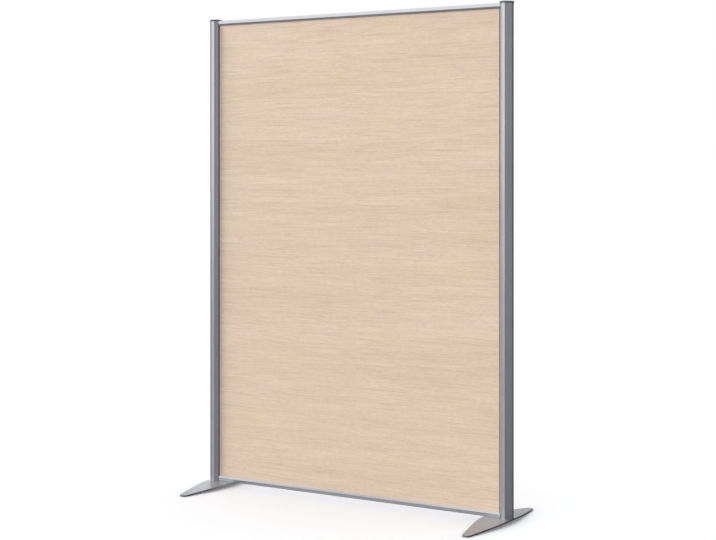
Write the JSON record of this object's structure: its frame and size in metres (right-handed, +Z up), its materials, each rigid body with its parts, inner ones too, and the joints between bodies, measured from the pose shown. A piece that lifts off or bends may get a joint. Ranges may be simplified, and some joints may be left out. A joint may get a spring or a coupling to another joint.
{
  "type": "freestanding partition",
  "caption": "Freestanding office partition: a wood-faced board between slotted octagonal aluminium posts, with top and bottom rails, on flat steel feet.",
  "frame": {"origin": "on the floor, midway between the posts and between the front and back tips of the feet", "axes": "+Z up, +X along the board to the viewer's right, front towards -Y"},
  "size_m": [1.3026, 0.496, 1.8],
  "materials": {
    "board_faces": "satin faced board, bleached beech grain",
    "board_edging": "plain cream edging, a little paler than the board",
    "post_aluminium": "satin anodised",
    "rail_aluminium": "satin anodised",
    "cover_strip": "silver grey, satin",
    "seal_rubber": "matt, warm grey",
    "cap_plastic": "fine moulded texture",
    "foot_steel": "silver grey powder coat",
    "cast_zinc": "as cast, tumbled",
    "zinc_plated_steel": "zinc plated",
    "glide_plastic": "black, fine texture"
  },
  "bodies": {
    "root": {"bottom_rail": "rail_aluminium", "edge_band_left": "board_edging", "edge_band_right": "board_edging", "foot_bolt_left": "zinc_plated_steel", "foot_bolt_right": "zinc_plated_steel", "foot_left": "foot_steel", "foot_pad_left_back": "glide_plastic", "foot_pad_left_front": "glide_plastic", "foot_pad_right_back": "glide_plastic", "foot_pad_right_front": "glide_plastic", "foot_rail_screw_left": "zinc_plated_steel", "foot_rail_screw_right": "zinc_plated_steel", "foot_right": "foot_steel", "foot_washer_left": "zinc_plated_steel", "foot_washer_right": "zinc_plated_steel", "lock_screws_bottom": "zinc_plated_steel", "lock_screws_top": "zinc_plated_steel", "panel_board": "board_faces", "panel_seal_left": "seal_rubber", "panel_seal_right": "seal_rubber", "post_cap_left": "cap_plastic", "post_cap_right": "cap_plastic", "post_left": "post_aluminium", "post_right": "post_aluminium", "rail_lock_bottom_left": "cast_zinc", "rail_lock_bottom_right": "cast_zinc", "rail_lock_top_left": "cast_zinc", "rail_lock_top_right": "cast_zinc", "slot_cover_left_back": "cover_strip", "slot_cover_left_front": "cover_strip", "slot_cover_left_outer": "cover_strip", "slot_cover_right_back": "cover_strip", "slot_cover_right_front": "cover_strip", "slot_cover_right_outer": "cover_strip", "top_rail": "rail_aluminium"}
  },
  "joints": []
}
